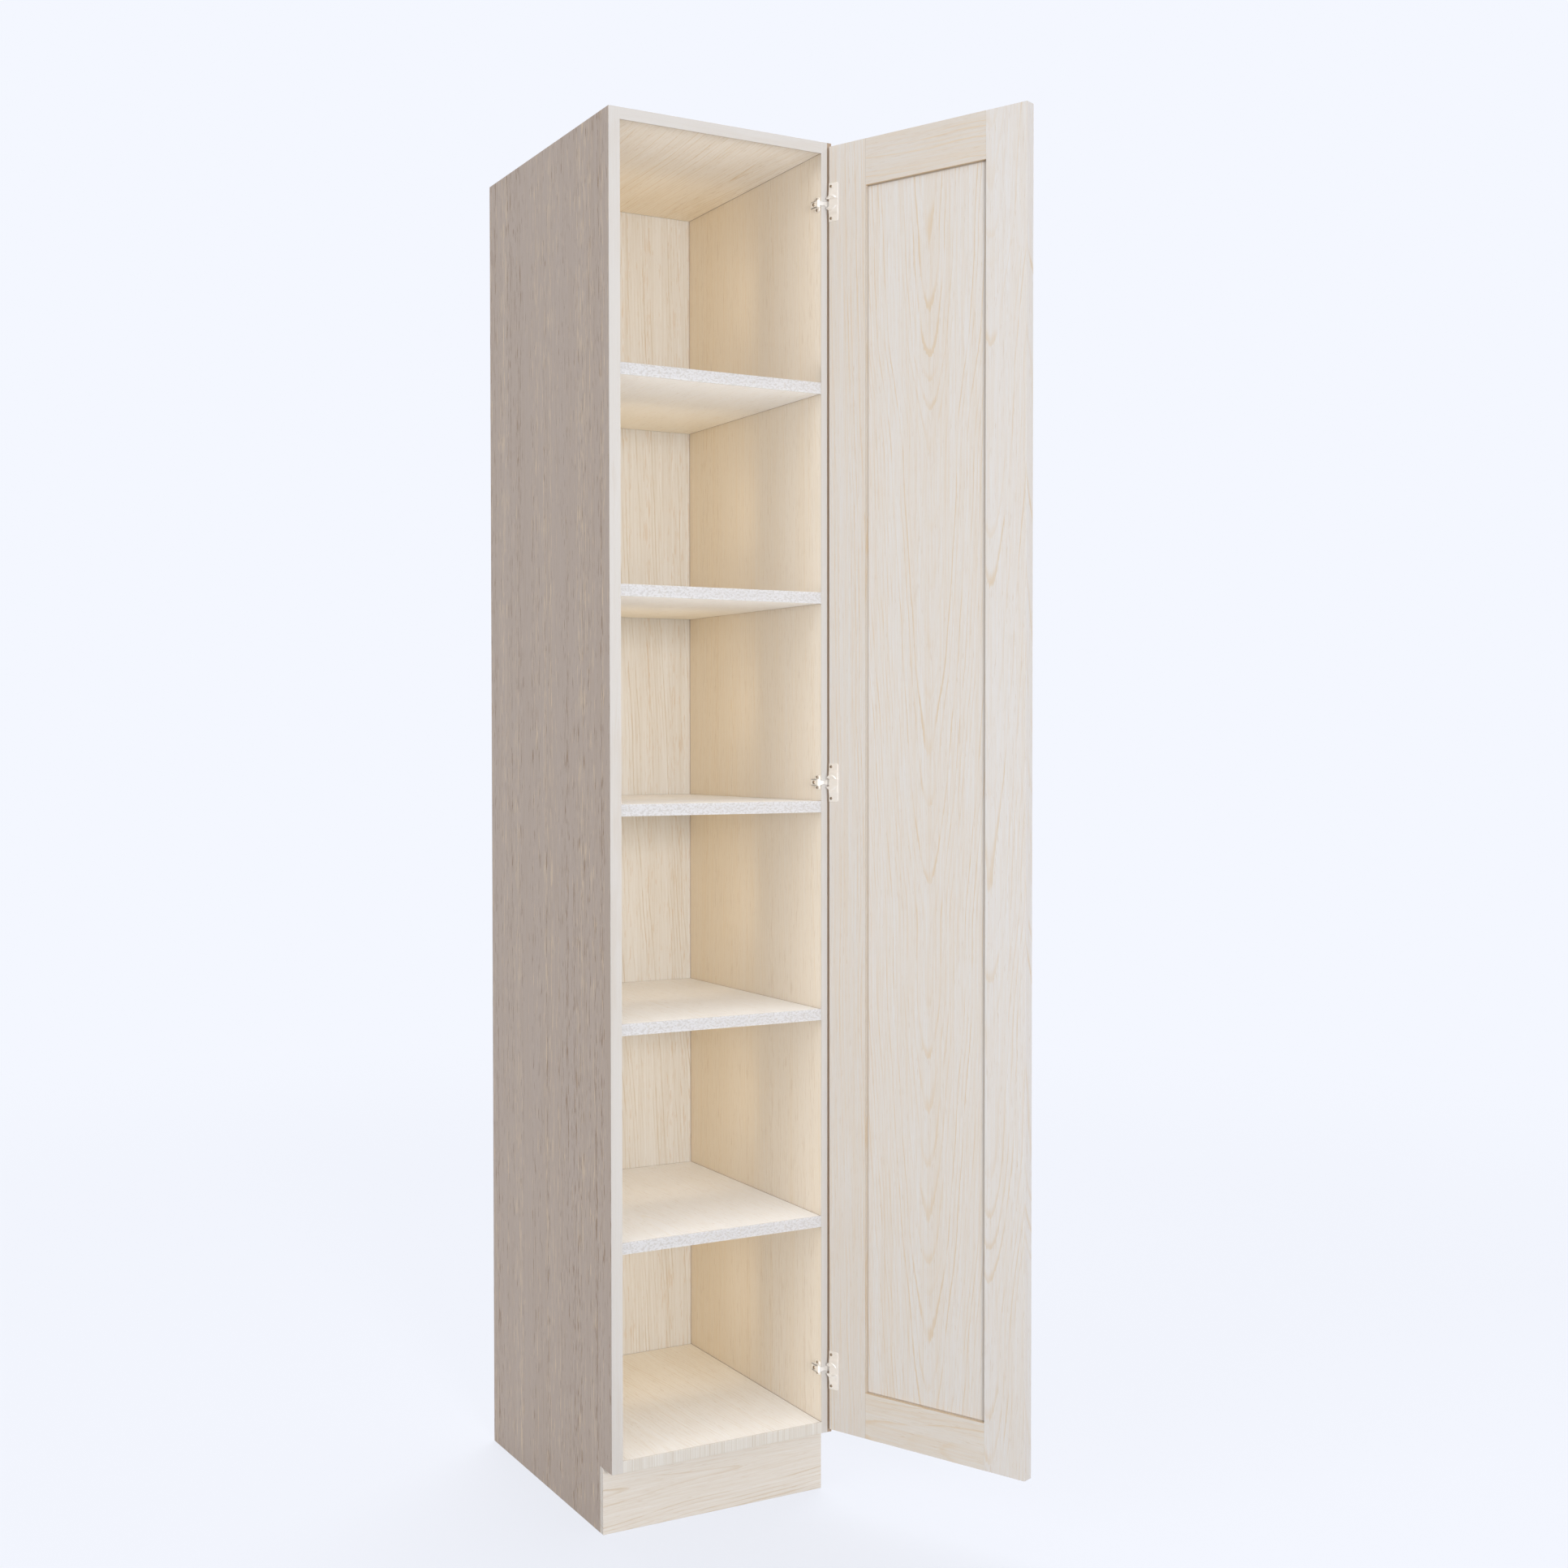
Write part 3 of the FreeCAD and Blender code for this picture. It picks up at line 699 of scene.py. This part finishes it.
def mountPlate(name, level):
    look, mesh = mountLook, bmesh.new()
    first, last = look["wing"]
    corner = look["corner"]
    upper = [(look["bar"][1], look["barHalf"]), (last, look["barHalf"])]
    for start, middle in ((0, last - corner), (90, first + corner)):
        for step in range(bendSteps + 1):
            turn = math.radians(start + 90 * step / bendSteps)
            upper.append((middle + corner * math.cos(turn),
                          look["wingHalf"] - corner + corner * math.sin(turn)))
    upper += [(first, look["barHalf"]), (look["bar"][0], look["barHalf"])]
    outline = upper + [(back, -up) for back, up in reversed(upper)]
    addSheet(mesh, outline, lambda back, up, out: (mountLeft + out, carcassFront + back * mm,
                                                   level + up * mm), innerFace - mountLeft)
    start, end = look["rib"]
    rib = [(start, look["ribHalf"]), (end, look["ribHalf"]), (end, -look["ribHalf"]),
           (start, -look["ribHalf"])]
    left = armLeft + armLook["sheet"] * mm
    addSheet(mesh, rib, lambda back, up, out: (left + out, carcassFront + back * mm,
                                               level + up * mm), mountLeft - left)
    return metalPiece(mesh, name, False, look["ease"])


def looseParts(node, turned):  # the box of each solid of a node
    mesh = bmesh.new()
    mesh.from_mesh(frame["nodes"][node].data)
    bmesh.ops.remove_doubles(mesh, verts=mesh.verts, dist=mergeReach)
    waiting, boxes = set(mesh.verts), []
    while waiting:
        island, toVisit = set(), [min(waiting, key=lambda vert: vert.index)]
        while toVisit:
            vert = toVisit.pop()
            if vert not in island:
                island.add(vert)
                toVisit += [link.other_vert(vert) for link in vert.link_edges]
        waiting -= island
        boxes.append(boxRound([closedPlace(vert.co, turned) for vert in island]))
    mesh.free()
    return boxes


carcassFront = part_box("band_left")[0][1]
stile = mergedCopy("door_stile_hinge", "closedStile")
doorEdge, doorFace = closedBox(stile, True)[1].xy
bpy.data.objects.remove(stile)
armLeft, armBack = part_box("hinge_arm_lower")[0][0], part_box("hinge_arm_lower")[1][1]
mountLeft = innerFace - mountLook["base"] * mm
for place, slitSide in zip(hingePlaces, (-1, 1, 1)):  # the slit lies below or above the arm
    armLow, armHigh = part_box("hinge_arm_" + place)
    level = (armLow[2] + armHigh[2]) / 2
    for piece, body, part in (
            (hingePlate(place + "HingePlate", level, slitSide), "door", "plate"),
            (hingeArm(place + "HingeArm", level), "carcass", "arm"),
            (mountPlate(place + "HingeMount", level), "carcass", "mount")):
        piece.data.materials.append(nickel)
        settle(piece, body, "hinge_nickel", f"hinge_{part}_{place}")
for node, material in (("hinge_pins", pinSteel), ("shelf_dowels", beech), ("panel_dowels", beech),
                       ("rail_dowels", beech)):
    coverNode(node, material)
print("hinges made")


# Screws: one tree draws a screw with a crossed recess and sets it on every point
shankLap = 0.1 * mm  # the shank reaches this far into the head
screwInputs = ("Head", "Head base", "Head top radius", "Head foot radius", "Dome", "Shank radius",
               "Length", "Recess width", "Recess reach", "Recess depth")


def screwTree():
    tree = bpy.data.node_groups.new("screwsOnPoints", "GeometryNodeTree")
    tree.interface.new_socket("Points", in_out="INPUT", socket_type="NodeSocketGeometry")
    for name in screwInputs:
        tree.interface.new_socket(name, in_out="INPUT", socket_type="NodeSocketFloat")
    tree.interface.new_socket("Seed", in_out="INPUT", socket_type="NodeSocketInt")
    tree.interface.new_socket("Finish", in_out="INPUT", socket_type="NodeSocketMaterial")
    tree.interface.new_socket("Screws", in_out="OUTPUT", socket_type="NodeSocketGeometry")

    def node(kind, sockets=None, out=0, **settings):
        made = tree.nodes.new(kind)
        for name, value in settings.items():
            setattr(made, name, value)
        for name, value in (sockets or {}).items():
            plug(tree, made.inputs[name], value)
        return Wire(tree, made.outputs[out]) if made.outputs else made

    inputs = tree.nodes.new("NodeGroupInput").outputs
    given = {socket.name: Wire(tree, socket) for socket in inputs}
    head, base = given["Head"], given["Head base"]
    cone = node("GeometryNodeMeshCone", {"Vertices": 28, "Side Segments": 5, "Fill Segments": 1,
                                         "Radius Top": given["Head top radius"],
                                         "Radius Bottom": given["Head foot radius"],
                                         "Depth": head}, fill_type="NGON")
    place = node("GeometryNodeInputPosition")
    rise = node("ShaderNodeSeparateXYZ", {0: place}, out=2) / head  # 0 to 1 up the head
    draw = 1 - rise * rise * rise * given["Dome"]  # the top draws in like a dome
    drawn = node("ShaderNodeVectorMath", {0: place, 1: node("ShaderNodeCombineXYZ",
                                                           {0: draw, 1: draw, 2: 1.0})},
                 operation="MULTIPLY")
    lift = node("ShaderNodeCombineXYZ", {0: 0.0, 1: 0.0, 2: base})
    domed = node("GeometryNodeSetPosition", {"Geometry": cone, "Position": drawn, "Offset": lift})
    bars = []
    for reach, width in (("Recess reach", "Recess width"), ("Recess width", "Recess reach")):
        size = node("ShaderNodeCombineXYZ", {0: given[reach], 1: given[width],
                                             2: given["Recess depth"] * 2})
        bar = node("GeometryNodeMeshCube", {"Size": size})
        bars.append(node("GeometryNodeTransform", {
            "Geometry": bar, "Translation": node("ShaderNodeCombineXYZ",
                                                 {0: 0.0, 1: 0.0, 2: base + head})}))
    for bar in bars:  # cut the recess
        domed = node("GeometryNodeMeshBoolean", {"Mesh 1": domed, "Mesh 2": bar},
                     operation="DIFFERENCE")
    shank = node("GeometryNodeMeshCylinder", {"Vertices": 20, "Side Segments": 12,
                                              "Fill Segments": 1,
                                              "Radius": given["Shank radius"],
                                              "Depth": given["Length"]}, fill_type="NGON")
    down = node("ShaderNodeSeparateXYZ", {0: place}, out=2) / given["Length"] + 0.5
    # The last fifth of the shank narrows to a quarter
    point = node("ShaderNodeMapRange", {0: down, 1: 0.0, 2: 0.2, 3: 0.25, 4: 1.0})
    tapered = node("ShaderNodeVectorMath", {0: place, 1: node("ShaderNodeCombineXYZ",
                                                             {0: point, 1: point, 2: 1.0})},
                   operation="MULTIPLY")
    sunk = node("ShaderNodeCombineXYZ", {0: 0.0, 1: 0.0, 2: base + given["Length"] * -0.5
                                         + shankLap})
    shank = node("GeometryNodeSetPosition", {"Geometry": shank, "Position": tapered,
                                             "Offset": sunk})
    screw = node("GeometryNodeJoinGeometry")
    for part in (domed, shank):
        tree.links.new(part.socket, screw.socket.node.inputs[0])
    facing = node("FunctionNodeAlignRotationToVector", {
        "Vector": node("GeometryNodeInputNamedAttribute", {"Name": "way"},
                       data_type="FLOAT_VECTOR")}, axis="Z")
    spin = node("FunctionNodeRandomValue", {2: 0.0, 3: math.pi, "Seed": given["Seed"]}, out=1,
                data_type="FLOAT")
    spun = node("FunctionNodeAxisAngleToRotation", {"Axis": (0, 0, 1), "Angle": spin})
    turned = node("FunctionNodeRotateRotation", {"Rotation": facing, "Rotate By": spun},
                  rotation_space="LOCAL")
    many = node("GeometryNodeInstanceOnPoints", {"Points": given["Points"], "Instance": screw,
                                                 "Rotation": turned})
    solid = node("GeometryNodeRealizeInstances", {"Geometry": many})
    dressed = node("GeometryNodeSetMaterial", {"Geometry": solid, "Material": given["Finish"]})
    plug(tree, tree.nodes.new("NodeGroupOutput").inputs[0], dressed)
    return tree


# Sizes in mm; the dome is a share, and the length comes from the solids
panHead = {"Head": 1.1, "Head base": 0.0, "Head top radius": 2.3, "Head foot radius": 2.3,
           "Dome": 0.22, "Shank radius": 1.5, "Recess width": 0.6, "Recess reach": 2.5,
           "Recess depth": 0.8}
clampHead = {**panHead, "Head": 1.6, "Head top radius": 3.0, "Head foot radius": 3.0,
             "Shank radius": 1.9, "Recess width": 0.8, "Recess reach": 3.4, "Recess depth": 1.1}
flatHead = {**panHead, "Head": 2.6, "Head base": -2.6, "Head top radius": 3.6,
            "Head foot radius": 1.8, "Dome": 0.0, "Shank radius": 1.8, "Recess width": 0.8,
            "Recess reach": 4.0, "Recess depth": 1.5}
screwSets = [  # piece, node, body, slot, head, way out of the wood, with the door closed
    ("plateScrews", "hinge_plate_screws", "door", "hinge_screw", panHead, (0, 1, 0)),
    ("mountScrews", "hinge_mount_screws", "carcass", "hinge_screw", panHead, (-1, 0, 0)),
    ("clampScrews", "hinge_clamp_screws", "carcass", "hinge_screw", clampHead, (-1, 0, 0)),
    ("backScrews", "back_screws", "carcass", "screw_steel", flatHead, (0, 1, 0)),
    ("railScrews", "rail_screws", "carcass", "screw_steel", flatHead, (0, 1, 0)),
]
tree = screwTree()
sockets = {item.name: item.identifier for item in tree.interface.items_tree
           if item.item_type == "SOCKET"}
for number, (name, node, body, slot, sizes, way) in enumerate(screwSets):
    turned, way = body == "door", Vector(way)
    points = bmesh.new()
    for low, high in looseParts(node, turned):
        middle = (low + high) / 2
        half = (high - low) / 2
        top = middle + Vector([half[axis] * way[axis] for axis in range(3)])
        top -= way * (sizes["Head"] + sizes["Head base"]) * mm
        length = 2 * abs(half.dot(way)) - sizes["Head"] * mm  # all of a group are alike
        points.verts.new(openPlace(top, turned))
    piece = newPiece(points, name + "Points")
    outward = toOpen @ way if turned else way
    facing = piece.data.attributes.new("way", "FLOAT_VECTOR", "POINT")
    facing.data.foreach_set("vector", list(outward) * len(piece.data.vertices))
    maker = piece.modifiers.new("screws", "NODES")
    maker.node_group = tree
    for part, size in sizes.items():
        maker[sockets[part]] = size * (mm if part != "Dome" else 1.0)
    maker[sockets["Length"]] = length
    maker[sockets["Seed"]] = number
    maker[sockets["Finish"]] = screwMetal
    bpy.context.view_layer.update()
    drawn = piece.evaluated_get(bpy.context.evaluated_depsgraph_get())
    screws = bpy.data.objects.new(name, bpy.data.meshes.new_from_object(drawn))
    bpy.context.scene.collection.objects.link(screws)
    bpy.data.objects.remove(piece)
    screws.data.materials.pop(index=0)  # the points' own empty slot
    screws.data.set_sharp_from_angle(angle=math.radians(35))
    settle(screws, body, slot, node)
    print(name, len(screws.data.polygons), "faces")


# Stage: a pale floor that fades into the backdrop between near and far; keep is the part of its
# shadows that stays before that
sky = (0.905, 0.930, 1.0)
stageLook = dict(size=60.0, near=2.0, far=4.5, keep=0.24, seen=(0.76, 0.78, 0.84),
                 bounce=(0.40, 0.395, 0.39), ambient=(0.61, 0.61, 0.62))


def seenRays(kit):  # what the camera, gloss and glass see, not what lights the object
    rays = kit.node("LightPath").socket.node.outputs
    camera, gloss, clear = [Wire(kit.tree, rays[name]) for name in
                            ("Is Camera Ray", "Is Glossy Ray", "Is Transmission Ray")]
    return (camera + gloss + clear).held()


def floorFinish():
    kit = Finish("paleFloor")
    away = kit.node("VectorMath", {0: kit.node("TexCoord", out=3)}, out=1, operation="LENGTH")
    seen = seenRays(kit)
    colour = kit.mix(seen, (*stageLook["bounce"], 1), (*stageLook["seen"], 1))
    lit = kit.node("BsdfDiffuse", {"Color": colour})
    plain = kit.node("Emission", {"Color": (*sky, 1), "Strength": 1.0})
    share = kit.rise(away, stageLook["near"], stageLook["far"], 1 - stageLook["keep"], 1.0) * seen
    kit.node("OutputMaterial", {0: kit.node("MixShader", {0: share, 1: lit, 2: plain})})
    return kit.material


floorMesh = bmesh.new()
bmesh.ops.create_circle(floorMesh, cap_ends=True, segments=96, radius=stageLook["size"])
floor = newPiece(floorMesh, "floor")
floor.data.materials.append(floorFinish())


class Sky(Finish):
    def __init__(self, name):
        self.world = bpy.data.worlds.new(name)
        self.world.use_nodes = True
        self.tree = self.world.node_tree
        self.tree.nodes.clear()


kit = Sky("studio")
bpy.context.scene.world = kit.world
shade = kit.mix(seenRays(kit), (*stageLook["ambient"], 1), (*sky, 1))
kit.node("OutputWorld", {0: kit.node("Background", {0: shade})})

suns = {  # turn from straight ahead towards the left, and height, in degrees
    "side": dict(turn=76, height=25, strength=0.42, soft=40, colour=(1.0, 0.985, 0.965)),
    "rear": dict(turn=-150, height=38, strength=2.0, soft=60, colour=(0.97, 0.98, 1.0)),
}
for name, lamp in suns.items():
    data = bpy.data.lights.new(name, "SUN")
    data.energy = lamp["strength"]
    data.angle = math.radians(lamp["soft"])
    data.color = lamp["colour"]
    turn, height = math.radians(lamp["turn"]), math.radians(lamp["height"])
    towards = Vector((-math.sin(turn) * math.cos(height), -math.cos(turn) * math.cos(height),
                      math.sin(height)))
    sun = bpy.data.objects.new(name, data)
    sun.rotation_mode = "QUATERNION"
    sun.rotation_quaternion = towards.to_track_quat("Z", "Y")
    bpy.context.scene.collection.objects.link(sun)

keyLook = dict(place=(-0.90, -6.4, 1.60), size=1.2, glow=0.49, colour=(1.0, 0.985, 0.965))


def areaLamp(name, place, towards, wide, tall, radiance, colour):
    data = bpy.data.lights.new(name, "AREA")
    data.shape = "RECTANGLE"
    data.size, data.size_y = wide, tall
    data.energy = radiance * math.pi * wide * tall
    data.color = colour
    lamp = bpy.data.objects.new(name, data)
    lamp.location = place
    lamp.rotation_mode = "QUATERNION"
    lamp.rotation_quaternion = (Vector(towards) - Vector(place)).to_track_quat("-Z", "Y")
    lamp.visible_camera = False
    bpy.context.scene.collection.objects.link(lamp)


aim = Vector((0, carcassFront, keyLook["place"][2]))
reach = (aim - Vector(keyLook["place"])).length
areaLamp("key", keyLook["place"], aim, keyLook["size"], keyLook["size"],
         keyLook["glow"] * math.pi * reach ** 2 / keyLook["size"] ** 2, keyLook["colour"])

bayFill = {  # soft light in each bay: at its mouth, and a smaller lamp half way in
    "mouth": dict(glow=0.65, wide=0.336, tall=0.306, depth=-0.0025, colour=(0.98, 1.0, 1.0)),
    "middle": dict(glow=1.65, wide=0.20, tall=0.10, depth=0.20, colour=(1.0, 0.88, 0.70)),
}
levels = [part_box("bottom_panel")[1][2]]
for number in range(1, shelves + 1):
    levels += [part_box(f"shelf_{number}")[0][2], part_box(f"shelf_{number}")[1][2]]
levels.append(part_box("top_panel")[0][2])
for low, high in zip(levels[::2], levels[1::2]):
    for name, fill in bayFill.items():
        place = Vector((0, bandBack + fill["depth"], (low + high) / 2))
        areaLamp(name + "Fill", place, place + Vector((0, 1, 0)), fill["wide"], fill["tall"],
                 fill["glow"], fill["colour"])

# Camera, fitted to the photograph
lens = dict(place=(-1.37257, -3.24686, 1.20722), yaw=30.2747, pitch=-1.2414, focal=45.554,
            shift=-0.04276, sensor=36, far=500)
cameraData = bpy.data.cameras.new("camera")
cameraData.sensor_width = lens["sensor"]
cameraData.lens = lens["focal"]
cameraData.shift_x = lens["shift"]
cameraData.clip_end = lens["far"]
camera = bpy.data.objects.new("camera", cameraData)
bpy.context.scene.collection.objects.link(camera)
bpy.context.scene.camera = camera
yaw, pitch = math.radians(lens["yaw"]), math.radians(lens["pitch"])
ahead = Vector((math.sin(yaw) * math.cos(pitch), math.cos(yaw) * math.cos(pitch), math.sin(pitch)))
camera.location = lens["place"]
camera.rotation_mode = "QUATERNION"
camera.rotation_quaternion = ahead.to_track_quat("-Z", "Y")
bpy.context.scene.view_settings.view_transform = "Standard"
print("stage, lamps and camera set")
